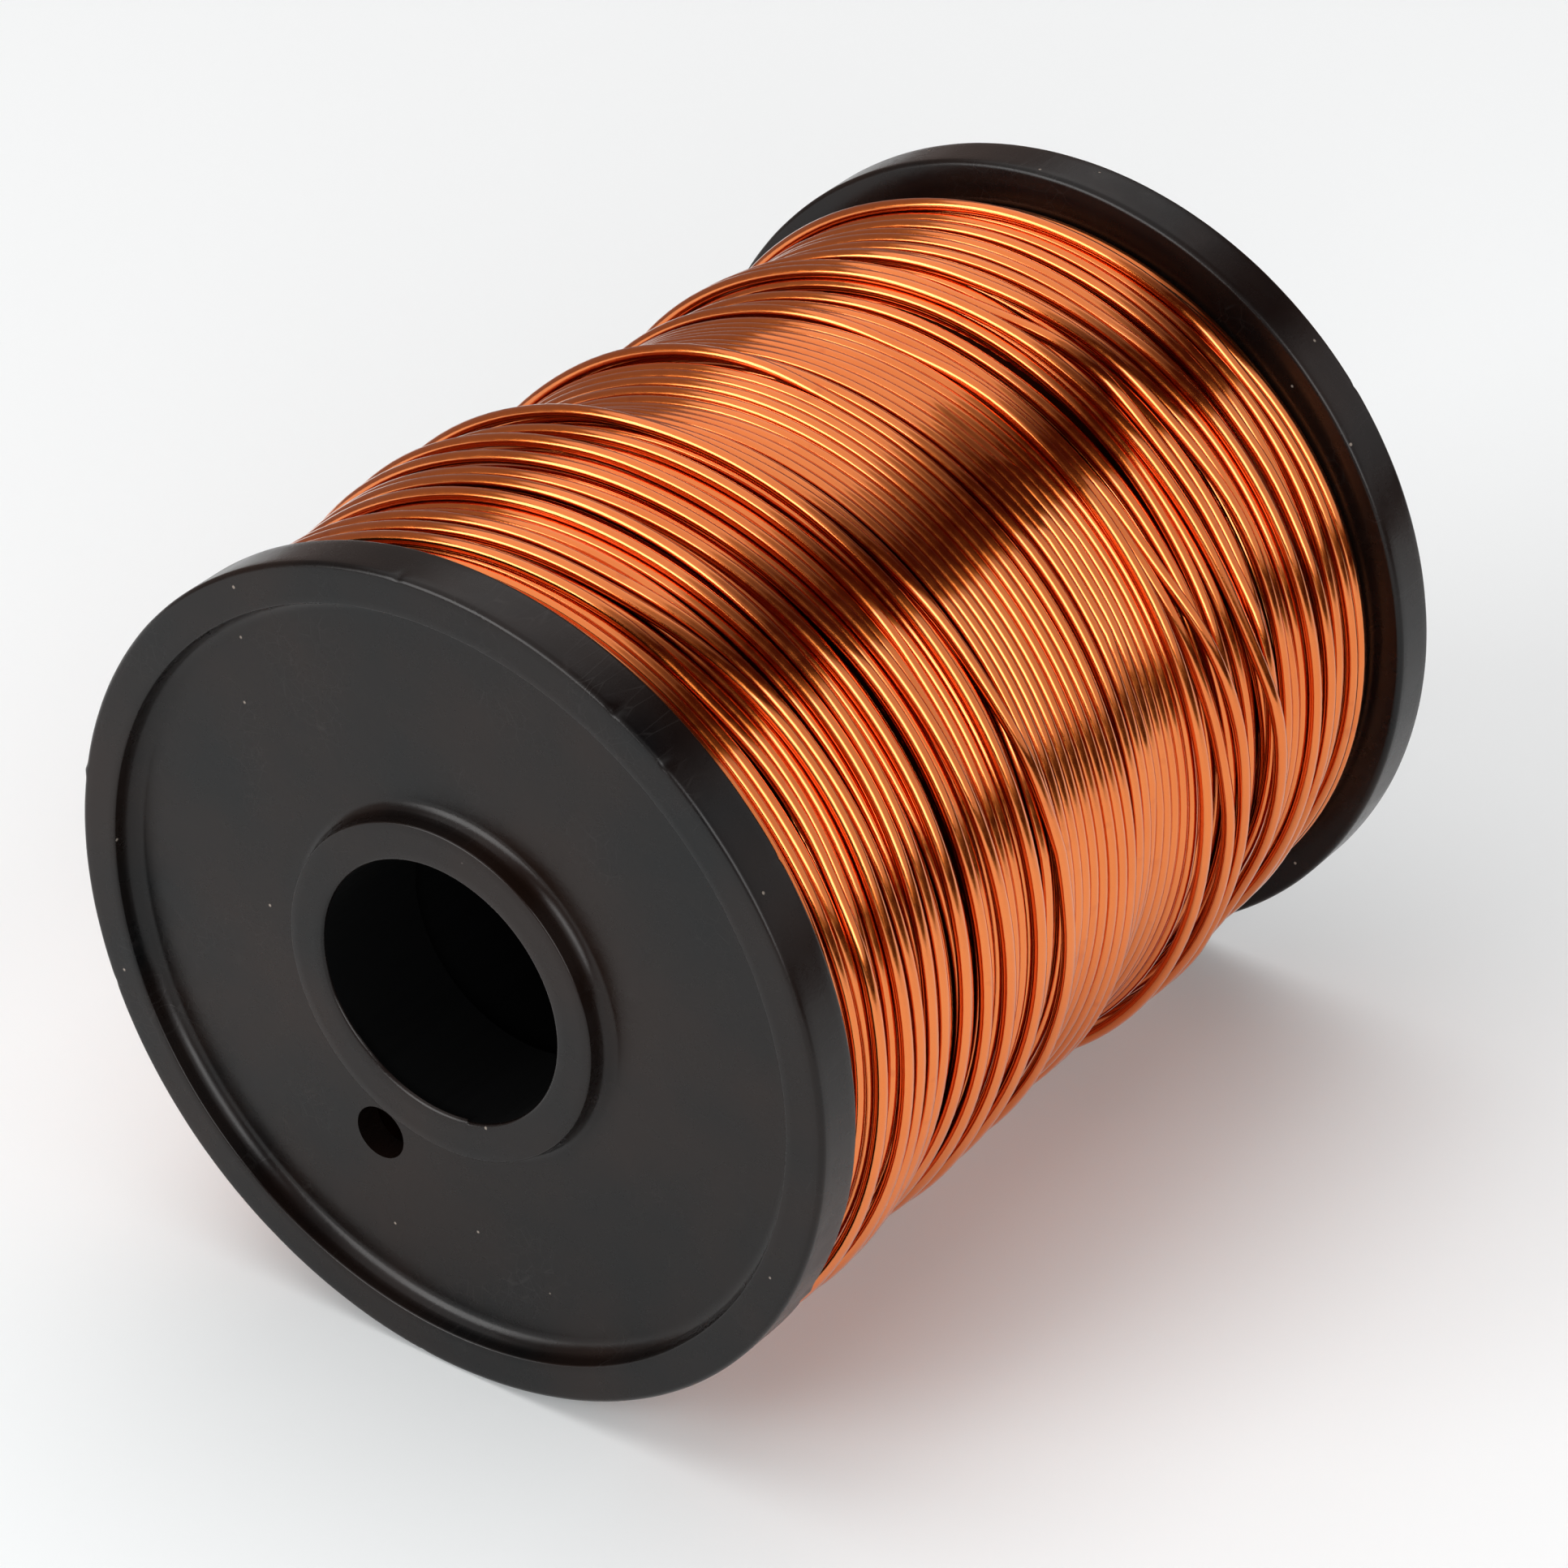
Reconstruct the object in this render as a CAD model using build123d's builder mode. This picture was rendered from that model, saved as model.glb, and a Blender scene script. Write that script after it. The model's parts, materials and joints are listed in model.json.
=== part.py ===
"""Reel of enamelled copper wire: two plastic flanges on a barrel, wound full.

The reel lies on its two rims with its axis along +Y. The front flange faces -Y and +Z is up.
The origin is on the spindle axis, midway between the flanges' outer faces. Millimetres.
"""

import os

from build123d import *

# Reel
flange_radius = 31.75
overall_length = 77.0
rim_thickness = 4.0
rim_width = 3.0
rim_edge_round = 0.45
recess_depth = 1.8
recess_foot_round = 1.2
bore_radius = 10.0
bore_edge_chamfer = 0.3
hub_radius = 12.9
hub_foot_round = 1.0
spigot_length = 6.0
spigot_wall = 1.4
barrel_wall = 2.0
spigot_clearance = 0.03

# Hole through each flange's web, where the wire's start is anchored
start_hole_radius = 2.05
start_hole_at_radius = 17.1
start_hole_angle = -114.8

# Wire: enamelled copper, 0.984 over its enamel, so a layer of turns is nearly that thick
layer_count = 18
layer_gap = 0.02
flange_gap = 0.1
deep_layers = 6
deep_layer_setback = 2.4

# Outside of the winding, as (place along the axis from its middle, radius). It is humped
# towards the front, waisted just behind the middle, and lowest at the rear flange.
winding_outline = [
    (-34.4, 30.7),
    (-29.0, 31.0),
    (-20.0, 31.3),
    (-11.0, 31.2),
    (-4.0, 30.3),
    (3.0, 29.9),
    (10.0, 30.2),
    (17.0, 30.5),
    (25.0, 30.2),
    (34.4, 30.1),
]

half_length = overall_length / 2
inner_face = half_length - rim_thickness
spigot_radius = bore_radius + spigot_wall
barrel_inner_radius = spigot_radius + spigot_clearance
barrel_radius = barrel_inner_radius + barrel_wall


def circles_at(part, radius, along):
    """The part's circular edges of one radius in one plane across the axis."""
    return [
        edge
        for edge in part.edges().filter_by(GeomType.CIRCLE)
        if abs(edge.radius - radius) < 0.01 and abs(edge.arc_center.Y - along) < 0.01
    ]


def layer_outline(level):
    """The surface under layer number level, counted from 0 on the barrel."""
    share = level / layer_count
    return [(barrel_radius + share * (r - barrel_radius), y) for y, r in winding_outline]


def trimmed(points, end):
    """The outline between y = -end and y = end, with its end points moved there."""
    kept = [point for point in points if abs(point[1]) < end - 1.0]
    return [(points[0][0], -end)] + kept + [(points[-1][0], end)]


# Front flange: rim ring, recessed web, hub collar and the spigot that enters the barrel
with BuildPart() as front_flange:
    with BuildSketch(Plane.XZ.offset(inner_face)):
        Circle(flange_radius)
    extrude(amount=rim_thickness)
    with BuildSketch(Plane.XZ.offset(half_length)):
        Circle(flange_radius - rim_width)
        Circle(hub_radius, mode=Mode.SUBTRACT)
    extrude(amount=-recess_depth, mode=Mode.SUBTRACT)
    with BuildSketch(Plane.XZ.offset(inner_face)):
        Circle(spigot_radius)
    extrude(amount=-spigot_length)
    with BuildSketch(Plane.XZ.offset(half_length)):
        Circle(bore_radius)
    extrude(amount=-(rim_thickness + spigot_length), mode=Mode.SUBTRACT)
    web_face = -half_length + recess_depth
    fillet(circles_at(front_flange.part, flange_radius - rim_width, web_face), recess_foot_round)
    fillet(circles_at(front_flange.part, hub_radius, web_face), hub_foot_round)
    fillet(circles_at(front_flange.part, flange_radius, -half_length), rim_edge_round)
    fillet(circles_at(front_flange.part, flange_radius, -inner_face), rim_edge_round)
    chamfer(circles_at(front_flange.part, bore_radius, -half_length), bore_edge_chamfer)
    with BuildSketch(Plane.XZ.offset(half_length)):
        with PolarLocations(start_hole_at_radius, 1, start_angle=start_hole_angle):
            Circle(start_hole_radius)
    extrude(amount=-rim_thickness, mode=Mode.SUBTRACT)
front_flange.part.label = "front_flange"

# Rear flange: the same moulding, turned end for end
with BuildPart() as rear_flange:
    with Locations(Rotation(0, 0, 180)):
        add(front_flange.part)
rear_flange.part.label = "rear_flange"

# Barrel: tube between the flanges, over their spigots
with BuildPart() as barrel:
    with BuildSketch(Plane.XZ.offset(inner_face)):
        Circle(barrel_radius)
        Circle(barrel_inner_radius, mode=Mode.SUBTRACT)
    extrude(amount=-2 * inner_face)
barrel.part.label = "barrel"

# Wire: one node for each layer of turns, from the barrel outwards
layers = []
for number in range(1, layer_count + 1):
    end = inner_face - flange_gap
    if number <= deep_layers:
        end -= deep_layer_setback
    inside = trimmed(layer_outline(number - 1), end)
    outside = trimmed(layer_outline(number), end)
    inside = [(r + layer_gap, y) for r, y in inside]
    with BuildPart() as layer:
        with BuildSketch(Plane.XY):
            with BuildLine():
                inner_line = Polyline(*inside)
                outer_line = Polyline(*outside)
                Line(inner_line @ 0, outer_line @ 0)
                Line(inner_line @ 1, outer_line @ 1)
            make_face()
        revolve(axis=Axis.Y)
    layer.part.label = f"wire_layer_{number:02d}"
    layers.append(layer.part)

os.makedirs("parts", exist_ok=True)
for piece in [front_flange.part, rear_flange.part, barrel.part] + layers:
    export_step(piece, f"parts/{piece.label}.step")
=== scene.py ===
"""Reel of enamelled copper wire on a plain pale floor.

The reel's axis is Y, its front flange faces -Y, and it lies on its two rims. Lengths written
as n * MM are in metres, as everything in the frame is. An angle round the reel is measured
from +X towards +Z, so 90 degrees is the top.
"""

import math

import bmesh
import bpy
import numpy as np
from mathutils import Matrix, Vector
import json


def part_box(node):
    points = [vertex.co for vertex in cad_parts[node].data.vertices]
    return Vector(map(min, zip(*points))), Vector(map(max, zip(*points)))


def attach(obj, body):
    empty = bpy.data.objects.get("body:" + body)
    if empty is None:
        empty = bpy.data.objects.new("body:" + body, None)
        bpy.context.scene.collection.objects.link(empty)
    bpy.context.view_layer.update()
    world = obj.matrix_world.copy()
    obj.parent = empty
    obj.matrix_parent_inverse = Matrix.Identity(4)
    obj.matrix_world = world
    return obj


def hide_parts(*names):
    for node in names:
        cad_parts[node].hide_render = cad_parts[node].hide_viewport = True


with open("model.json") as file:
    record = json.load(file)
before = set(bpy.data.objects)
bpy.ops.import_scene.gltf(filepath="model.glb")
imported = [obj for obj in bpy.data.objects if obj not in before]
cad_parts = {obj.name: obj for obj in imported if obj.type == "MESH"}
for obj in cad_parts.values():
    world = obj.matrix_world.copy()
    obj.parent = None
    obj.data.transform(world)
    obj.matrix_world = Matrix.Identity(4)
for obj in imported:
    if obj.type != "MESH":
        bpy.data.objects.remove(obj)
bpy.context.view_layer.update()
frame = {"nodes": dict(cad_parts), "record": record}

MM = 0.001
rng = np.random.default_rng(11)

# Reel, from the CAD nodes
flange_low, flange_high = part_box("front_flange")
barrel_low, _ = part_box("barrel")
FLANGE_R = flange_high[0]
HALF_LENGTH = -flange_low[1]
INNER_FACE = -barrel_low[1]
FLOOR_Z = flange_low[2]
mounts = {m["name"]: m for m in frame["record"]["mounts"]}
BORE_R = mounts["spindle_bore"]["dims"]["r_mm"] * MM
START_HOLE = mounts["front_start_hole"]
HOLE_R = START_HOLE["dims"]["r_mm"] * MM

# Flange moulding, as in part.py
RIM_WIDTH = 3.0 * MM
RIM_ROUND = 0.45 * MM
RECESS = 1.8 * MM
RECESS_FOOT = 1.2 * MM
HUB_R = 12.9 * MM
HUB_FOOT = 1.0 * MM
SPIGOT_R = 11.4 * MM
SPIGOT_END = 10.0 * MM
# Small rounds in place of part.py's sharp corners and bore chamfer
CREASE = 0.15 * MM
BORE_LIP = 0.25 * MM

# Wire: its diameter over the enamel, the straight steps in one turn, and the angle where each
# turn passes into the next, on the far side and low down
WIRE_D = 0.984 * MM
TURN_STEPS = 144
STEP = 360.0 / TURN_STEPS
SEAM = 225.0


# ---------------------------------------------------------------- meshes


def mesh_object(name, verts, faces, material):
    """A smooth-shaded object with this mesh, linked to the scene."""
    mesh = bpy.data.meshes.new(name)
    mesh.from_pydata([tuple(v) for v in verts], [], faces)
    mesh.update()
    mesh.polygons.foreach_set("use_smooth", [True] * len(mesh.polygons))
    obj = bpy.data.objects.new(name, mesh)
    bpy.context.scene.collection.objects.link(obj)
    mesh.materials.append(material)
    return obj


def arc(center, radius, start, end, steps):
    """Points (depth, radius) on an arc of the profile, angles in degrees."""
    out = []
    for i in range(steps + 1):
        a = math.radians(start + (end - start) * i / steps)
        out.append((center[0] + radius * math.cos(a), center[1] + radius * math.sin(a)))
    return out


def line(a, b, steps):
    """Points between two points of the profile, without its ends."""
    return [
        (a[0] + (b[0] - a[0]) * i / steps, a[1] + (b[1] - a[1]) * i / steps)
        for i in range(1, steps)
    ]


# ---------------------------------------------------------------- materials


def new_material(name):
    """A material with a Principled shader: (material, node tree, shader)."""
    mat = bpy.data.materials.new(name)
    mat.use_nodes = True
    tree = mat.node_tree
    tree.nodes.clear()
    out = tree.nodes.new("ShaderNodeOutputMaterial")
    shader = tree.nodes.new("ShaderNodeBsdfPrincipled")
    tree.links.new(shader.outputs[0], out.inputs[0])
    return mat, tree, shader


def stretched(tree, coords, x, y, z):
    """The coordinates scaled by x, y and z."""
    made = tree.nodes.new("ShaderNodeVectorMath")
    made.operation = "MULTIPLY"
    tree.links.new(coords, made.inputs[0])
    made.inputs[1].default_value = (x, y, z)
    return made.outputs[0]


def voronoi(tree, coords, scale, feature="F1"):
    made = tree.nodes.new("ShaderNodeTexVoronoi")
    made.feature = feature
    made.inputs["Scale"].default_value = scale
    tree.links.new(coords, made.inputs["Vector"])
    return made


def noise(tree, coords, scale, detail=2.0, roughness=0.5):
    made = tree.nodes.new("ShaderNodeTexNoise")
    made.inputs["Scale"].default_value = scale
    made.inputs["Detail"].default_value = detail
    made.inputs["Roughness"].default_value = roughness
    tree.links.new(coords, made.inputs["Vector"])
    return made.outputs["Fac"]


def remap(tree, value, low, high, out_low, out_high):
    """The value's range low to high carried over to out_low to out_high, and held there."""
    made = tree.nodes.new("ShaderNodeMapRange")
    tree.links.new(value, made.inputs["Value"])
    made.inputs["From Min"].default_value = low
    made.inputs["From Max"].default_value = high
    made.inputs["To Min"].default_value = out_low
    made.inputs["To Max"].default_value = out_high
    return made.outputs["Result"]


def maths(tree, operation, a, b):
    made = tree.nodes.new("ShaderNodeMath")
    made.operation = operation
    for socket, value in zip(made.inputs, (a, b)):
        if isinstance(value, (int, float)):
            socket.default_value = value
        else:
            tree.links.new(value, socket)
    return made.outputs[0]


def mix_colour(tree, factor, a, b):
    """Colour a where the factor is 0 and b where it is 1. Each may be a socket or a constant."""
    made = tree.nodes.new("ShaderNodeMix")
    made.data_type = "RGBA"
    for socket, value in ((made.inputs[0], factor), (made.inputs[6], a), (made.inputs[7], b)):
        if isinstance(value, tuple):
            socket.default_value = (*value, 1.0)
        elif isinstance(value, (int, float)):
            socket.default_value = value
        else:
            tree.links.new(value, socket)
    return made.outputs[2]


def bump(tree, height, strength, distance, previous=None):
    """Normal raised by the height, on top of the previous normal if there is one."""
    made = tree.nodes.new("ShaderNodeBump")
    made.inputs["Strength"].default_value = strength
    made.inputs["Distance"].default_value = distance
    tree.links.new(height, made.inputs["Height"])
    if previous is not None:
        tree.links.new(previous, made.inputs["Normal"])
    return made.outputs["Normal"]


def dust(tree, coords, scale, share):
    """Factor that is 1 on small separate specks, kept on this share of the cells."""
    cells = voronoi(tree, coords, scale)
    channels = tree.nodes.new("ShaderNodeSeparateColor")
    tree.links.new(cells.outputs["Color"], channels.inputs[0])
    near = remap(tree, cells.outputs["Distance"], 0.12, 0.07, 0.0, 1.0)
    kept = maths(tree, "LESS_THAN", channels.outputs[0], share)
    return maths(tree, "MULTIPLY", near, kept)


def scratches(tree, coords, along, scale):
    """Thin lines that run mostly one way, broken up so that only some show."""
    lines = voronoi(tree, stretched(tree, coords, *along), scale, "DISTANCE_TO_EDGE")
    thin = remap(tree, lines.outputs["Distance"], 0.030, 0.0, 0.0, 1.0)
    some = remap(tree, noise(tree, coords, 130.0, 3.0), 0.52, 0.62, 0.0, 1.0)
    return maths(tree, "MULTIPLY", thin, some)


def plastic_material():
    """Black moulded plastic: faintly mottled, with fine grain, light scuffs and a little dust."""
    mat, tree, shader = new_material("reel_plastic")
    coords = tree.nodes.new("ShaderNodeTexCoord").outputs["Object"]
    clouds = noise(tree, coords, 75.0, 4.0)
    grain = noise(tree, coords, 3500.0, 2.0)
    smears = noise(tree, coords, 240.0, 5.0, 0.65)
    swirls = noise(tree, stretched(tree, coords, 1.0, 1.0, 3.0), 420.0, 4.0, 0.6)
    scuffs = scratches(tree, coords, (1.0, 0.12, 1.0), 900.0)
    specks = dust(tree, coords, 800.0, 0.035)

    mottle = remap(tree, clouds, 0.35, 0.65, 0.0, 1.0)
    base = mix_colour(tree, mottle, (0.0015, 0.0016, 0.0018), (0.0085, 0.0042, 0.0028))
    base = mix_colour(tree, maths(tree, "MULTIPLY", scuffs, 0.15), base, (0.050, 0.046, 0.044))
    base = mix_colour(tree, specks, base, (0.22, 0.19, 0.16))
    tree.links.new(base, shader.inputs["Base Color"])

    rough = remap(tree, smears, 0.3, 0.7, 0.22, 0.32)
    rough = maths(tree, "ADD", rough, maths(tree, "MULTIPLY", specks, 0.4))
    tree.links.new(rough, shader.inputs["Roughness"])
    shader.inputs["IOR"].default_value = 1.36
    normal = bump(tree, grain, 0.22, 0.02 * MM)
    normal = bump(tree, swirls, 0.10, 0.06 * MM, normal)
    normal = bump(tree, scuffs, 0.10, 0.03 * MM, normal)
    normal = bump(tree, specks, 0.6, 0.05 * MM, normal)
    tree.links.new(normal, shader.inputs["Normal"])
    return mat


def bore_painted_shade_material():
    """The same plastic inside the bore, darker and duller than the rest: painted shade."""
    mat, tree, shader = new_material("reel_plastic_bore_painted_shade")
    coords = tree.nodes.new("ShaderNodeTexCoord").outputs["Object"]
    drawn = noise(tree, stretched(tree, coords, 1.0, 0.05, 1.0), 1500.0, 3.0)
    # Painted shade: a near-black base and, below, little reflection stand in for the bore's shade
    base = mix_colour(tree, drawn, (0.0010, 0.0012, 0.0013), (0.0020, 0.0022, 0.0023))
    tree.links.new(base, shader.inputs["Base Color"])
    tree.links.new(remap(tree, drawn, 0.3, 0.7, 0.75, 0.9), shader.inputs["Roughness"])
    shader.inputs["Specular IOR Level"].default_value = 0.08
    tree.links.new(bump(tree, drawn, 0.3, 0.04 * MM), shader.inputs["Normal"])
    return mat


def copper_material():
    """Bright drawn copper under clear enamel, with painted shade darkening it between turns."""
    mat, tree, shader = new_material("enamelled_copper")
    coords = tree.nodes.new("ShaderNodeTexCoord").outputs["Object"]
    fine = noise(tree, coords, 900.0, 3.0, 0.6)
    wander = remap(tree, noise(tree, coords, 90.0, 3.0), 0.35, 0.65, 0.0, 1.0)
    base = mix_colour(tree, wander, (0.78, 0.186, 0.028), (0.83, 0.218, 0.042))
    darker = remap(tree, noise(tree, coords, 420.0, 2.0), 0.66, 0.74, 0.0, 0.35)
    base = mix_colour(tree, darker, base, (0.58, 0.100, 0.016))
    # Painted shade: the colour darkens where ambient occlusion finds the wire hemmed in
    turn_occlusion = tree.nodes.new("ShaderNodeAmbientOcclusion")
    turn_occlusion.samples = 4
    turn_occlusion.inputs["Distance"].default_value = 1.2 * MM
    painted_valley_shade = remap(tree, turn_occlusion.outputs["AO"], 0.05, 0.38, 0.45, 0.0)
    base = mix_colour(tree, painted_valley_shade, base, (0.16, 0.045, 0.014))
    tree.links.new(base, shader.inputs["Base Color"])
    shader.inputs["Metallic"].default_value = 1.0
    tree.links.new(remap(tree, fine, 0.3, 0.7, 0.13, 0.20), shader.inputs["Roughness"])
    shader.inputs["Coat Weight"].default_value = 0.85
    shader.inputs["Coat Roughness"].default_value = 0.08
    shader.inputs["Coat IOR"].default_value = 1.5
    tree.links.new(bump(tree, fine, 0.03, 0.03 * MM), shader.inputs["Normal"])
    return mat


def deep_copper_painted_shade_material():
    """Buried turns, for the CAD sleeves: dull, ridged turn by turn, and dark with painted shade.
    """
    mat, tree, shader = new_material("enamelled_copper_deep_painted_shade")
    coords = tree.nodes.new("ShaderNodeTexCoord").outputs["Object"]
    turns = tree.nodes.new("ShaderNodeTexWave")
    turns.bands_direction = "Y"
    turns.inputs["Scale"].default_value = 160.0
    tree.links.new(coords, turns.inputs["Vector"])
    shade = noise(tree, coords, 300.0, 3.0)
    # Painted shade: the copper is made nearly black where it lies buried and shaded
    base = mix_colour(tree, shade, (0.020, 0.005, 0.002), (0.050, 0.012, 0.004))
    tree.links.new(base, shader.inputs["Base Color"])
    shader.inputs["Metallic"].default_value = 1.0
    tree.links.new(remap(tree, shade, 0.3, 0.7, 0.45, 0.6), shader.inputs["Roughness"])
    tree.links.new(bump(tree, turns.outputs["Fac"], 0.5, 0.3 * MM), shader.inputs["Normal"])
    return mat


def floor_material():
    """Matt pale paper, very slightly uneven in tone."""
    mat, tree, shader = new_material("pale_floor")
    coords = tree.nodes.new("ShaderNodeTexCoord").outputs["Object"]
    tone = noise(tree, coords, 3.0, 2.0)
    base = mix_colour(tree, tone, (0.86, 0.905, 0.915), (0.88, 0.925, 0.935))
    tree.links.new(base, shader.inputs["Base Color"])
    shader.inputs["Roughness"].default_value = 0.9
    shader.inputs["Specular IOR Level"].default_value = 0.1
    return mat


plastic = plastic_material()
bore_painted_shade = bore_painted_shade_material()
copper = copper_material()
deep_copper_painted_shade = deep_copper_painted_shade_material()

# ---------------------------------------------------------------- flanges

# Steps round a flange, and how many bands of its profile are the bore and the spigot's end
ROUND_STEPS = 720
BORE_ROWS = 5


def flange_profile():
    """Closed outline of a flange as (depth from its outer face, radius)."""
    rim_in = FLANGE_R - RIM_WIDTH
    inner = HALF_LENGTH - INNER_FACE
    points = [(depth, BORE_R) for depth in (BORE_LIP, 0.5 * MM, 0.8 * MM, 1.2 * MM, SPIGOT_END)]
    points += [(SPIGOT_END, SPIGOT_R), (inner, SPIGOT_R)]
    points += line((inner, SPIGOT_R), (inner, FLANGE_R - RIM_ROUND), 12)
    points += arc((inner - RIM_ROUND, FLANGE_R - RIM_ROUND), RIM_ROUND, 0, 90, 6)
    points += line((inner - RIM_ROUND, FLANGE_R), (RIM_ROUND, FLANGE_R), 6)
    points += arc((RIM_ROUND, FLANGE_R - RIM_ROUND), RIM_ROUND, 90, 180, 6)
    points += line((0.0, FLANGE_R - RIM_ROUND), (0.0, rim_in + CREASE), 5)
    points += arc((CREASE, rim_in + CREASE), CREASE, 180, 270, 3)
    foot = (RECESS - RECESS_FOOT, rim_in - RECESS_FOOT)
    points += arc(foot, RECESS_FOOT, 90, 0, 10)
    points += line((RECESS, rim_in - RECESS_FOOT), (RECESS, HUB_R + HUB_FOOT), 14)
    foot = (RECESS - HUB_FOOT, HUB_R + HUB_FOOT)
    points += arc(foot, HUB_FOOT, 0, -90, 9)
    points += arc((CREASE, HUB_R - CREASE), CREASE, 90, 180, 3)
    points += line((0.0, HUB_R - CREASE), (0.0, BORE_R + BORE_LIP), 4)
    points += arc((BORE_LIP, BORE_R + BORE_LIP), BORE_LIP, 180, 270, 4)[:-1]
    return points


def bell(x, center, width):
    """1 at the centre, falling to 0 over about twice the width. Angles wrap round."""
    return math.exp(-(((x - center + 180.0) % 360.0 - 180.0) / width) ** 2)


# Depths of a rim's two edges
OUTER_EDGE = 0.2 * MM
INNER_EDGE = 3.8 * MM

# Nicks and bits of moulding flash on the rims: (angle, half-width in degrees, height, edge)
FRONT_MARKS = [
    (168.5, 0.7, 0.12 * MM, OUTER_EDGE),
    (-27.5, 0.8, 0.11 * MM, INNER_EDGE),
    (-29.8, 0.5, -0.15 * MM, INNER_EDGE),
    (94.0, 0.5, -0.08 * MM, OUTER_EDGE),
    (61.0, 0.6, -0.11 * MM, OUTER_EDGE),
    (52.5, 0.4, -0.09 * MM, OUTER_EDGE),
    (36.0, 0.5, -0.08 * MM, INNER_EDGE),
    (-160.0, 0.5, -0.07 * MM, OUTER_EDGE),
    (-95.0, 0.4, -0.06 * MM, OUTER_EDGE),
]
REAR_MARKS = [
    (40.0, 0.5, -0.07 * MM, OUTER_EDGE),
    (-100.0, 0.8, -0.07 * MM, INNER_EDGE),
    (205.0, 0.6, -0.08 * MM, OUTER_EDGE),
]

# Where the lip of flash at the mouth of the front bore starts and ends, and its full height
FLASH_FROM = 203.0
FLASH_TO = 282.0
FLASH_HEIGHT = 0.26 * MM


def bore_flash(angle, depth):
    """Thin lip of flash left at the mouth of the bore: it swells, thins and breaks off."""
    share = (angle % 360.0 - FLASH_FROM) / (FLASH_TO - FLASH_FROM)
    if share < 0.0 or share > 1.0:
        return 0.0
    height = FLASH_HEIGHT * min(1.0, 3.0 * share) * (1.0 - 0.3 * share)
    return height * math.exp(-((depth - BORE_LIP) / (0.35 * MM)) ** 2)


def mark_height(marks, angle, depth):
    """How far the marks on a rim lift it at an angle and a depth from the outer face."""
    return sum(
        height * bell(angle, at, width) * math.exp(-(((depth - edge) / (0.5 * MM)) ** 2))
        for at, width, height, edge in marks
    )


def rim_wave(angle, phases):
    """How far the rim is out of round, within a few hundredths of a millimetre."""
    a = math.radians(angle)
    return sum(
        0.012 * MM * math.sin(k * a + phases[n]) / (n + 1)
        for n, k in enumerate((3, 5, 9, 17, 31, 53))
    )


def flange(name, side, marks, seed):
    """The profile turned round the axis. side is -1 for the front flange, +1 for the rear one."""
    phases = np.random.default_rng(seed).uniform(0, 2 * math.pi, 6)
    profile = flange_profile()
    verts, faces, in_bore = [], [], []
    count = len(profile)
    for i in range(ROUND_STEPS):
        angle = 360.0 * i / ROUND_STEPS
        a = math.radians(angle)
        wave = rim_wave(angle, phases)
        for depth, r in profile:
            if r > FLANGE_R - RIM_ROUND * 1.2:
                r += wave + mark_height(marks, angle, depth)
            elif r < BORE_R + 0.3 * MM and side < 0:
                r -= bore_flash(angle, depth)
            verts.append((r * math.cos(a), side * (HALF_LENGTH - depth), r * math.sin(a)))
    for i in range(ROUND_STEPS):
        j = (i + 1) % ROUND_STEPS
        for k in range(count):
            m = (k + 1) % count
            quad = (i * count + k, j * count + k, j * count + m, i * count + m)
            faces.append(quad if side < 0 else quad[::-1])
            in_bore.append(k < BORE_ROWS)
    obj = mesh_object(name, verts, faces, plastic)
    # Faces in the bore take the material that paints shade there
    obj.data.materials.append(bore_painted_shade)
    obj.data.polygons.foreach_set("material_index", [int(flag) for flag in in_bore])
    drill_start_hole(obj, side)
    sharpen(obj)
    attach(obj, "root")
    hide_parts("front_flange" if side < 0 else "rear_flange")


def drill_start_hole(obj, side):
    """Cuts the start hole through the flange's web and takes the result as its mesh."""
    x, _, z = START_HOLE["pos_m"]
    bm = bmesh.new()
    bmesh.ops.create_cone(
        bm, cap_ends=True, segments=64, radius1=HOLE_R, radius2=HOLE_R, depth=12 * MM
    )
    mesh = bpy.data.meshes.new("drill")
    bm.to_mesh(mesh)
    bm.free()
    drill = bpy.data.objects.new("drill", mesh)
    bpy.context.scene.collection.objects.link(drill)
    drill.rotation_euler = (math.radians(90), 0, 0)
    drill.location = (-side * x, side * (HALF_LENGTH - 2 * MM), z)
    cut = obj.modifiers.new("cut", "BOOLEAN")
    cut.operation = "DIFFERENCE"
    cut.solver = "EXACT"
    cut.object = drill
    bpy.context.view_layer.update()
    graph = bpy.context.evaluated_depsgraph_get()
    cut_mesh = bpy.data.meshes.new_from_object(obj.evaluated_get(graph))
    obj.modifiers.clear()
    obj.data = cut_mesh
    bpy.data.objects.remove(drill)


def sharpen(obj, angle=32.0):
    """Edges sharper than this stay crisp under smooth shading."""
    mesh = obj.data
    mesh.polygons.foreach_set("use_smooth", [True] * len(mesh.polygons))
    mesh.set_sharp_from_angle(angle=math.radians(angle))


flange("reel_flange_front", -1, FRONT_MARKS, 3)
flange("reel_flange_rear", 1, REAR_MARKS, 5)

# The barrel's bore takes the same painted shade
barrel = frame["nodes"]["barrel"]
barrel.data.materials.clear()
barrel.data.materials.append(bore_painted_shade)

# ---------------------------------------------------------------- winding

# Outside of the winding where the first traverse's turns lie tight: (y, radius) in mm
TIGHT_OUTLINE = [
    (-34.5, 29.9),
    (-28.0, 29.9),
    (-24.0, 30.0),
    (-20.0, 30.1),
    (-12.0, 30.1),
    (-8.0, 29.8),
    (-4.0, 29.6),
    (1.0, 29.9),
    (8.0, 29.4),
    (15.0, 29.5),
    (24.0, 29.5),
    (34.5, 29.5),
]
# The centres of the full layer under them lie this much further in
UNDER_DEPTH = 1.36 * WIRE_D
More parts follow.
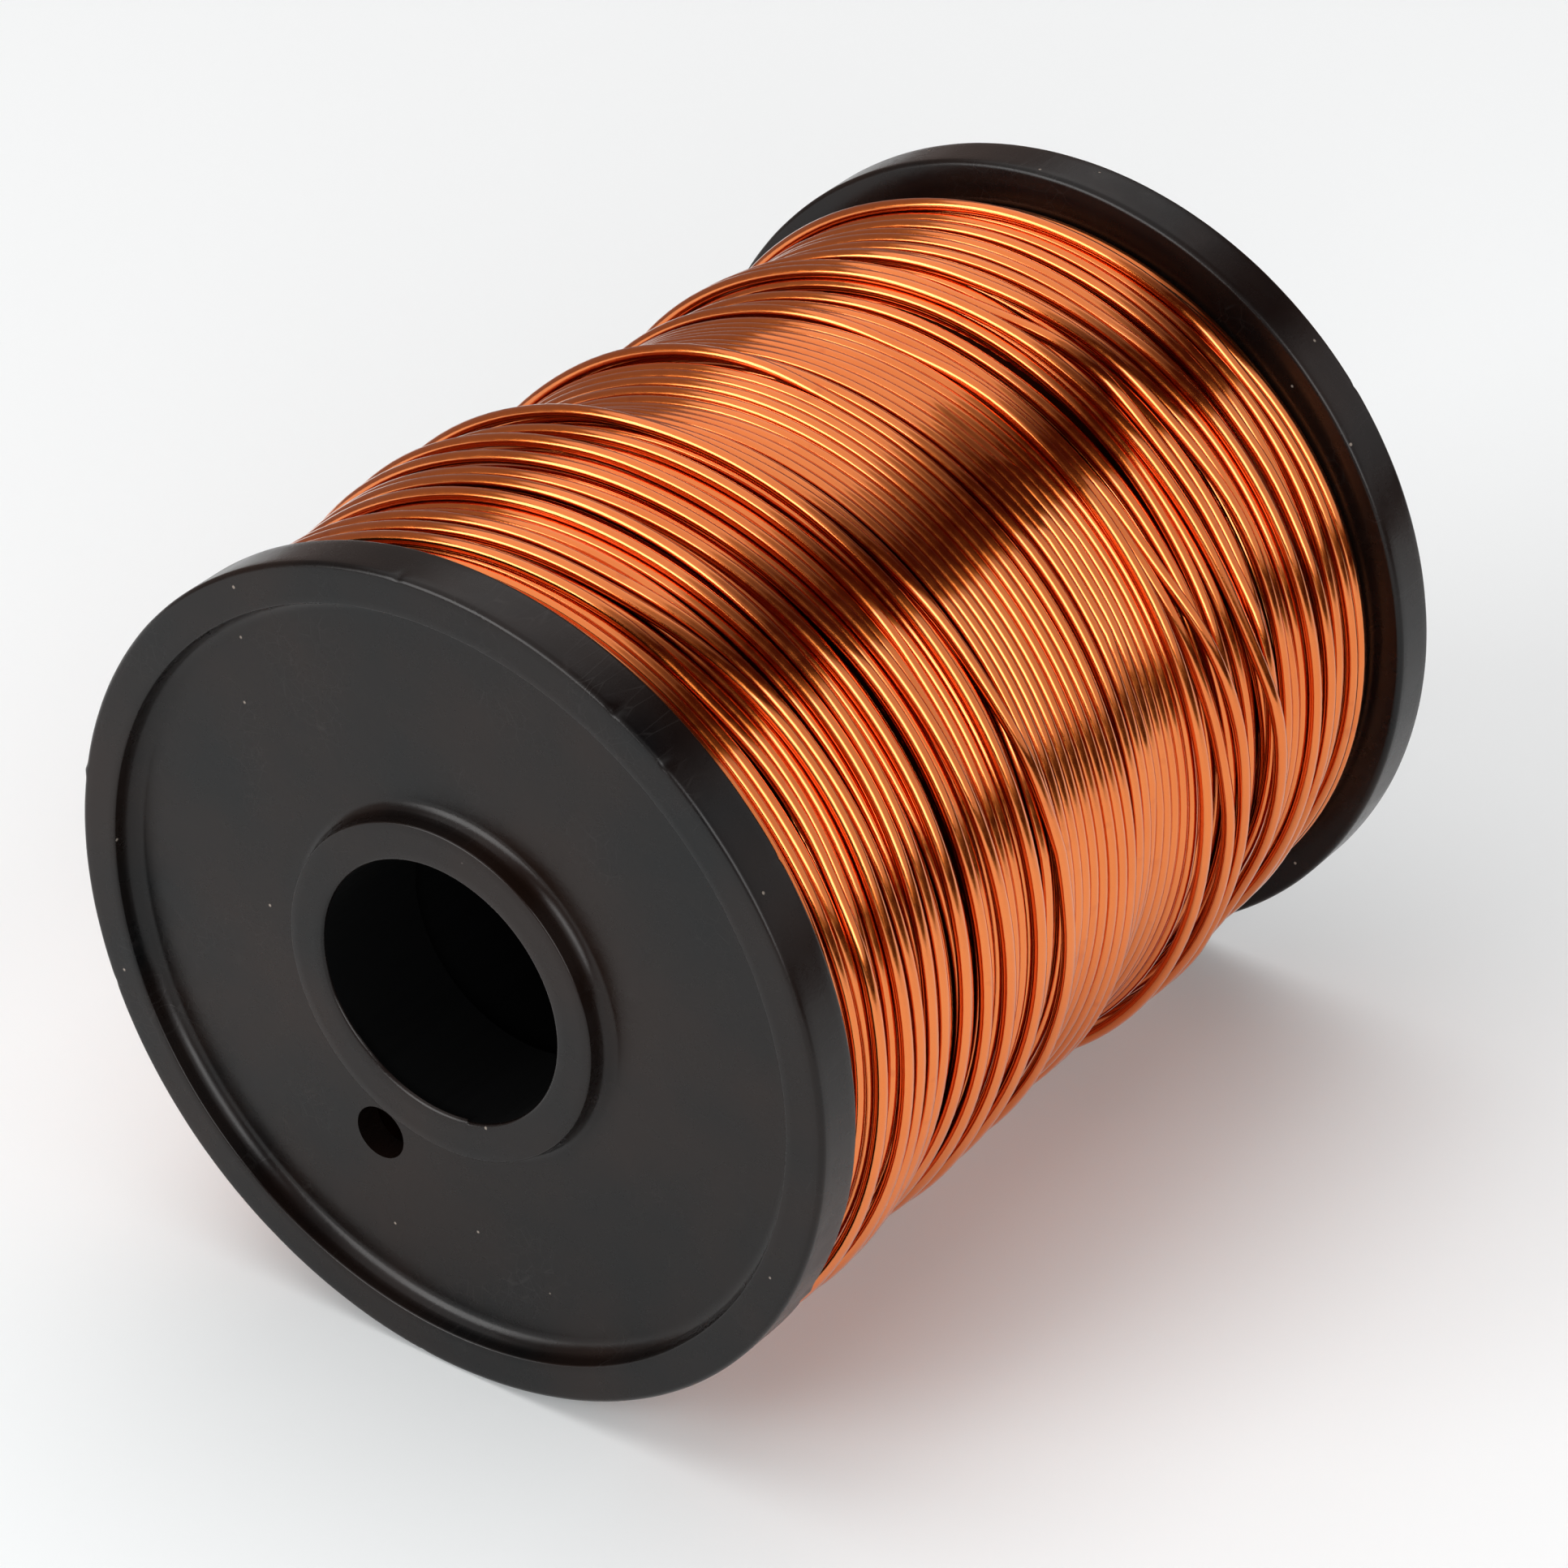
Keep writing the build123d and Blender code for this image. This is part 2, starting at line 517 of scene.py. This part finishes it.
# Where it is fuller or leaner than that: (y, half-width along, angle, half-width round, height)
SWELLS = [
    (-29.0, 4.5, -37.0, 70.0, 0.35),
    (-26.5, 4.0, 129.0, 45.0, -0.20),
    (-5.0, 2.5, 129.0, 50.0, -0.90),
    (0.0, 2.0, -37.0, 50.0, 0.60),
    (5.0, 2.0, -37.0, 50.0, -0.85),
    (13.5, 3.0, -37.0, 50.0, 0.60),
    (27.0, 5.0, -37.0, 50.0, -0.25),
]
# Where each turn of the last two traverses lies: y in mm at the top, halfway to the side, and
# at the side. The rows start from highlights that another script found in the photo, joined
# into turns and rounded to half a millimetre. Most of those in front of the middle were then
# placed again one by one.
STATIONS = (85.0, 43.0, 3.0)
# Past its first and last station a turn slants on by this share of its slant between stations,
# and it keeps the y that it comes to between these angles
END_SLANT = 0.3
LEAD_IN = (140.0, 112.0)
LEAD_OUT = (-30.0, -60.0)


def band(count, first):
    """Tight turns side by side, from the given one towards the rear flange."""
    return [tuple(y + WIRE_D / MM * i for y in first) for i in range(count)]


FIRST_TRAVERSE = (
    band(2, (-34.0, -34.0, -34.0))
    + [
        (-32.0, -32.0, -31.5),
        (-31.0, -31.0, -30.5),
        (-29.5, -28.5, -29.5),
        (-28.0, -27.5, -28.0),
        (-26.5, -26.5, -26.5),
        (-25.5, -25.5, -25.0),
        (-24.5, -24.0, -24.0),
        (-22.5, -22.5, -22.5),
        (-21.5, -21.5, -21.5),
        (-20.5, -20.5, -20.0),
        (-19.0, -19.0, -19.0),
        (-18.0, -17.5, -17.5),
        (-17.0, -16.5, -16.5),
        (-15.5, -15.5, -15.5),
        (-14.5, -14.5, -14.5),
        (-13.0, -12.5, -12.5),
        (-11.5, -11.5, -11.5),
        (-10.0, -10.0, -10.5),
        (-8.5, -8.5, -9.0),
        (-7.0, -7.0, -7.0),
    ]
    + band(7, (-6.0, -6.0, -6.0))
    + [(2.0, 2.5, 2.5)]
    + band(7, (3.5, 4.0, 4.0))
    + [
        (14.0, 14.0, 14.5),
        (16.5, 16.0, 15.5),
        (17.5, 17.0, 17.5),
        (20.0, 18.5, 20.0),
        (21.0, 21.0, 21.0),
        (22.5, 23.5, 24.0),
        (24.0, 25.0, 25.0),
        (26.5, 26.5, 26.5),
        (29.5, 29.0, 28.0),
        (30.5, 30.5, 30.0),
        (31.5, 32.8, 32.95),
        (34.0, 34.0, 34.0),
    ]
)
# From the rear flange back to the front
LAST_TRAVERSE = [
    (30.5, 31.8, 31.95),
    (28.0, 28.0, 27.5),
    (25.5, 25.5, 25.5),
    (20.5, 22.5, 23.0),
    (18.5, 20.0, 19.5),
    (17.0, 17.5, 19.0),
    (12.5, 12.5, 15.0),
    (11.5, 11.5, 13.5),
    (10.5, 10.0, 10.0),
    (1.0, 1.0, 1.0),
    (-10.5, -9.5, -7.5),
    (-11.5, -11.5, -11.5),
    (-14.0, -13.5, -13.5),
    (-16.5, -16.0, -15.5),
    (-19.0, -18.0, -18.0),
    (-21.0, -20.0, -20.5),
    (-22.5, -22.5, -23.0),
    (-24.0, -23.5, -24.5),
    (-27.5, -26.0, -26.0),
    (-29.0, -27.0, -27.5),
    (-31.0, -29.5, -30.5),
]

# Slack that stands off the winding: (y near which the turn lies, angle, half-width round,
# height), in mm and degrees
SLACK = [
    (-19.0, 131.0, 40.0, 0.30),
    (-16.5, 131.0, 40.0, 0.20),
    (2.0, 120.0, 50.0, 0.40),
    (-30.0, -37.0, 30.0, 0.30),
    (-27.0, -37.0, 30.0, 0.40),
    (6.5, -37.0, 30.0, 0.35),
    (10.0, -35.0, 34.0, 0.35),
    (14.0, -35.0, 34.0, 0.15),
    (-8.0, 12.0, 4.0, 0.35),
]


def hermite(knots, values, at):
    """Smooth curve through the values, with each tangent from its neighbours."""
    knots, values = np.asarray(knots, float), np.asarray(values, float)
    slope = np.gradient(values, knots)
    index = np.clip(np.searchsorted(knots, at) - 1, 0, len(knots) - 2)
    h = knots[index + 1] - knots[index]
    t = (at - knots[index]) / h
    a, b = values[index], values[index + 1]
    ma, mb = slope[index] * h, slope[index + 1] * h
    return (
        (2 * t**3 - 3 * t**2 + 1) * a
        + (t**3 - 2 * t**2 + t) * ma
        + (-2 * t**3 + 3 * t**2) * b
        + (t**3 - t**2) * mb
    )


def traverse_path(rows):
    """y at every step of a traverse whose turns pass through the rows in order."""
    knots, values = [], []
    for i, row in enumerate(rows):
        start = 360.0 * i + SEAM
        lead = row[0] + END_SLANT * (row[0] - row[1])
        tail = row[2] + END_SLANT * (row[2] - row[1])
        knots += [start - angle for angle in LEAD_IN + STATIONS + LEAD_OUT]
        values += [lead, lead, *row, tail, tail]
    steps = np.arange(len(rows) * TURN_STEPS) * STEP
    inside = np.clip(steps, knots[0], knots[-1])
    return hermite(knots, values, inside) * MM


def spread(path, least):
    """Pushes each turn clear of the one before it, towards the rear flange."""
    turns = path.reshape(-1, TURN_STEPS)
    for before, turn in zip(turns, turns[1:]):
        np.maximum(turn, before + least, out=turn)
    return turns.reshape(-1)


def tight_radius(y, angles):
    """Outside of the winding where turns lie tight, at these places along it and round it."""
    ys, rs = zip(*TIGHT_OUTLINE)
    y = y / MM
    r = hermite(ys, rs, np.clip(y, ys[0], ys[-1]))
    for at, length, angle, width, height in SWELLS:
        off = (angles - angle + 180.0) % 360.0 - 180.0
        r = r + height * np.exp(-(((y - at) / length) ** 2) - (off / width) ** 2)
    return r * MM


TAUT_PASSES = 60


def taut(support):
    """A wire under tension over these radii: straight between the places that hold it up.

    Where a line is straight, 1 / radius is the mean of its neighbours' over a step's cosine.
    """
    u = 1.0 / support
    limit = u.copy()
    double_cos = 2.0 * math.cos(math.radians(STEP))
    for _ in range(TAUT_PASSES):
        lifted = u.copy()
        lifted[1:-1] = np.minimum(limit[1:-1], (u[:-2] + u[2:]) / double_cos)
        u = lifted
    return 1.0 / u


class Winding:
    """Turns already on the reel: y and centre radius of each, at every step round it."""

    def __init__(self, y, r):
        self.y = y.reshape(-1, TURN_STEPS)
        self.r = r.reshape(-1, TURN_STEPS)

    def support(self, y, full_r):
        """Lowest centre radius that a new turn can have, over the full layer and all turns."""
        gap = np.abs(self.y - y)
        rise = np.sqrt(np.maximum(WIRE_D**2 - gap**2, 0.0))
        top = np.where(gap < WIRE_D, self.r + rise, 0.0).max(axis=0)
        return np.maximum(top, full_r)

    def add(self, y, r):
        self.y = np.vstack([self.y, y])
        self.r = np.vstack([self.r, r])


step_angles = SEAM - np.arange(TURN_STEPS) * STEP

FLOOR_CLEARANCE = 0.10 * MM
NO_LIMIT = 1.0


def floor_limit():
    """Greatest centre radius that keeps a turn clear of the floor."""
    down = np.sin(np.radians(step_angles))
    clear = (-FLOOR_Z - FLOOR_CLEARANCE - WIRE_D / 2) / np.maximum(-down, 1e-6)
    return np.where(down < -0.2, clear, NO_LIMIT)


def slack_lift(y):
    """How far slack lifts a turn that lies at y, at every step round it."""
    lift = np.zeros(TURN_STEPS)
    for at, angle, width, height in SLACK:
        off = (step_angles - angle + 180.0) % 360.0 - 180.0
        near = np.exp(-((y / MM - at) ** 2))
        lift += height * MM * np.exp(-((off / width) ** 2)) * near
    return lift


# A turn is drawn taut together with this many steps of the wire before it and after it
BEFORE = 24
AFTER = 12
# Smoothing may sink the wire by no more than this
MOST_SINK = 0.03 * MM
# Steps over which a traverse's two ends dive under the turns beside them
TUCK_STEPS = 10.0


def wind(winding, path, loose):
    """Lays a whole traverse turn by turn and gives the centre radius at every step.

    loose is the height of the waves that a turn has between its ends.
    """
    turns = len(path) // TURN_STEPS
    radii = np.zeros(len(path))
    top = floor_limit()
    a = np.radians(step_angles)
    middle = 0.5 - 0.5 * np.cos(2 * math.pi * np.arange(TURN_STEPS) / TURN_STEPS)
    for t in range(turns):
        part = slice(t * TURN_STEPS, (t + 1) * TURN_STEPS)
        y = path[part]
        support = winding.support(y, tight_radius(y, step_angles) - UNDER_DEPTH)
        if t:
            before = radii[t * TURN_STEPS - BEFORE : t * TURN_STEPS]
        else:
            before = support[:1].repeat(BEFORE)
        whole = taut(np.concatenate([before, support, support[-1:].repeat(AFTER)]))
        r = whole[BEFORE : BEFORE + TURN_STEPS] + slack_lift(y)
        bumps = rng.normal(size=6)
        wave = sum(b * np.cos((k + 1) * a + k) for k, b in enumerate(bumps)) / 3.0
        r = np.minimum(r + loose * middle * np.maximum(wave, 0.0), top)
        winding.add(y, r)
        radii[part] = r
    smooth = np.convolve(np.pad(radii, 2, mode="edge"), [0.1, 0.2, 0.4, 0.2, 0.1], mode="valid")
    smooth = np.maximum(smooth, radii - MOST_SINK)
    tuck = np.clip(1.0 - np.arange(len(path)) / TUCK_STEPS, 0.0, 1.0) ** 2 * WIRE_D
    return smooth - tuck - tuck[::-1]


def wire_mesh(name, path, radii, sides):
    """Round wire along a path given as y and radius at every step."""
    count = len(path)
    a = np.radians(SEAM - np.arange(count) * STEP)
    centre = np.stack([radii * np.cos(a), path, radii * np.sin(a)], axis=1)
    tangent = np.gradient(centre, axis=0)
    tangent /= np.linalg.norm(tangent, axis=1)[:, None]
    out = np.stack([np.cos(a), np.zeros(count), np.sin(a)], axis=1)
    out -= (out * tangent).sum(axis=1)[:, None] * tangent
    out /= np.linalg.norm(out, axis=1)[:, None]
    side = np.cross(tangent, out)
    phi = np.arange(sides) * (2 * math.pi / sides)
    ring = np.cos(phi)[None, :, None] * out[:, None, :]
    ring = ring + np.sin(phi)[None, :, None] * side[:, None, :]
    verts = (centre[:, None, :] + ring * (WIRE_D / 2)).reshape(-1, 3)
    i = np.arange(count - 1)[:, None] * sides
    k = np.arange(sides)[None, :]
    m = (k + 1) % sides
    quads = np.stack([i + k, i + m, i + sides + m, i + sides + k], axis=-1).reshape(-1, 4)
    faces = quads.tolist()
    faces.append(list(range(sides))[::-1])
    faces.append(list(range((count - 1) * sides, count * sides)))
    return mesh_object(name, verts, faces, copper)


# The full layer under the last traverses: close turns from flange to flange
under_pitch = 0.988 * MM
under_turns = int(2 * (INNER_FACE - 0.6 * MM) / under_pitch)
turns_wound = np.arange(under_turns * TURN_STEPS) / TURN_STEPS
under_y = -under_pitch * under_turns / 2 + under_pitch * turns_wound
under_y = under_y + 0.10 * MM * np.sin(turns_wound * 0.9)
under_r = tight_radius(under_y, np.tile(step_angles, under_turns)) - UNDER_DEPTH
winding = Winding(under_y, under_r)

first_y = spread(traverse_path(FIRST_TRAVERSE), WIRE_D)
first_y = np.minimum(first_y, INNER_FACE - WIRE_D / 2)
first_r = wind(winding, first_y, 0.05 * MM)
last_y = traverse_path(LAST_TRAVERSE)
last_r = wind(winding, last_y, 0.10 * MM)

pieces = [
    wire_mesh("wire_under", under_y, under_r, 8),
    wire_mesh("wire_first_traverse", first_y, first_r, 12),
    wire_mesh("wire_last_traverse", last_y, last_r, 12),
]
for obj in pieces:
    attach(obj, "root")
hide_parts("wire_layer_17")
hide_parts("wire_layer_18")

# The CAD sleeves take the copper painted dark as shade
for name, obj in frame["nodes"].items():
    if name.startswith("wire_layer"):
        obj.data.materials.clear()
        obj.data.materials.append(deep_copper_painted_shade)

# ---------------------------------------------------------------- floor, light, camera


def floor():
    """A sheet of pale paper, no larger than the pictures need: dark surroundings lie past it."""
    size = 0.36
    mesh = bpy.data.meshes.new("floor")
    corners = [(-size, -size), (size, -size), (size, size), (-size, size)]
    mesh.from_pydata([(x, y, FLOOR_Z) for x, y in corners], [], [(0, 1, 2, 3)])
    obj = bpy.data.objects.new("floor", mesh)
    mesh.materials.append(floor_material())
    bpy.context.scene.collection.objects.link(obj)


floor()


def softbox(name, angle, along, length, breadth, radiance, faces_middle=False):
    """A light 1 m from the reel's axis, at an angle round it and a place along it.

    length runs along the axis and breadth round it. It faces the axis, or the reel's middle.
    """
    data = bpy.data.lights.new(name, "AREA")
    data.shape = "RECTANGLE"
    data.size = length
    data.size_y = breadth
    data.energy = radiance * math.pi * length * breadth
    obj = bpy.data.objects.new(name, data)
    bpy.context.scene.collection.objects.link(obj)
    a = math.radians(angle)
    out = Vector((math.cos(a), 0.0, math.sin(a)))
    obj.location = out + Vector((0.0, along, 0.0))
    aim = obj.location.normalized() if faces_middle else out
    obj.rotation_euler = aim.to_track_quat("Z", "Y").to_euler()
    return obj


# A row of them to the right, brightest a little nearer the camera: (from, to, radiance), the
# places along the axis in metres
RIGHT_ROW = [
    (-3.8, -1.85, 0.78),
    (-1.85, -1.55, 1.9),
    (-1.55, -0.75, 5.4),
    (-0.75, -0.50, 1.9),
    (-0.50, 2.6, 0.70),
]
for start, end, radiance in RIGHT_ROW:
    softbox("softbox_right", 30.0, (start + end) / 2, end - start, 0.81, radiance)
# A wide one overhead that fades out at its right edge: sheets over each other, each from an
# angle of its own to the same left edge, with the radiance that it adds
TOP_LEFT_EDGE = 136.0
TOP_SHEETS = [(87.0, 0.54), (79.0, 0.18), (72.0, 0.13)]
for edge, radiance in TOP_SHEETS:
    breadth = 2.0 * math.tan(math.radians((TOP_LEFT_EDGE - edge) / 2))
    softbox(f"softbox_top_{edge:.0f}", (edge + TOP_LEFT_EDGE) / 2, -0.1, 3.0, breadth, radiance)
# One behind the camera's left shoulder, and a fill that reflections don't show
softbox("softbox_front", 145.0, -1.75, 1.20, 1.15, 5.4, faces_middle=True)
fill = softbox("fill", 90.0, 0.0, 1.0, 1.0, 1.2)
fill.visible_glossy = False


def studio_world():
    """Dim surroundings for light and reflections, a pale backdrop where the camera sees them."""
    world = bpy.data.worlds.new("studio")
    bpy.context.scene.world = world
    world.use_nodes = True
    tree = world.node_tree
    tree.nodes.clear()
    out = tree.nodes.new("ShaderNodeOutputWorld")
    coords = tree.nodes.new("ShaderNodeTexCoord").outputs["Generated"]
    split = tree.nodes.new("ShaderNodeSeparateXYZ")
    tree.links.new(coords, split.inputs[0])
    dim = tree.nodes.new("ShaderNodeBackground")
    left = remap(tree, split.outputs["X"], 0.1, -0.6, 0.0, 1.0)
    shade = mix_colour(tree, left, (0.046, 0.010, 0.008), (0.28, 0.22, 0.20))
    tree.links.new(shade, dim.inputs["Color"])
    pale = tree.nodes.new("ShaderNodeBackground")
    pale.inputs["Color"].default_value = (0.96, 0.96, 0.96, 1.0)
    seen = tree.nodes.new("ShaderNodeLightPath").outputs["Is Camera Ray"]
    mix = tree.nodes.new("ShaderNodeMixShader")
    for value, socket in zip((seen, dim.outputs[0], pale.outputs[0]), mix.inputs):
        tree.links.new(value, socket)
    tree.links.new(mix.outputs[0], out.inputs["Surface"])


studio_world()

# Camera at the photo's viewing angle, 0.41 m from the reel's middle
camera_data = bpy.data.cameras.new("camera")
camera_data.lens = 130.81
camera_data.sensor_width = 36.0
camera_data.clip_start = 0.01
camera = bpy.data.objects.new("camera", camera_data)
bpy.context.scene.collection.objects.link(camera)
camera.location = (0.203583, -0.281302, 0.216787)
forward = Vector((-0.493838, 0.685545, -0.534932))
camera.rotation_euler = forward.to_track_quat("-Z", "Y").to_euler()
bpy.context.scene.camera = camera
bpy.context.scene.view_settings.view_transform = "Standard"
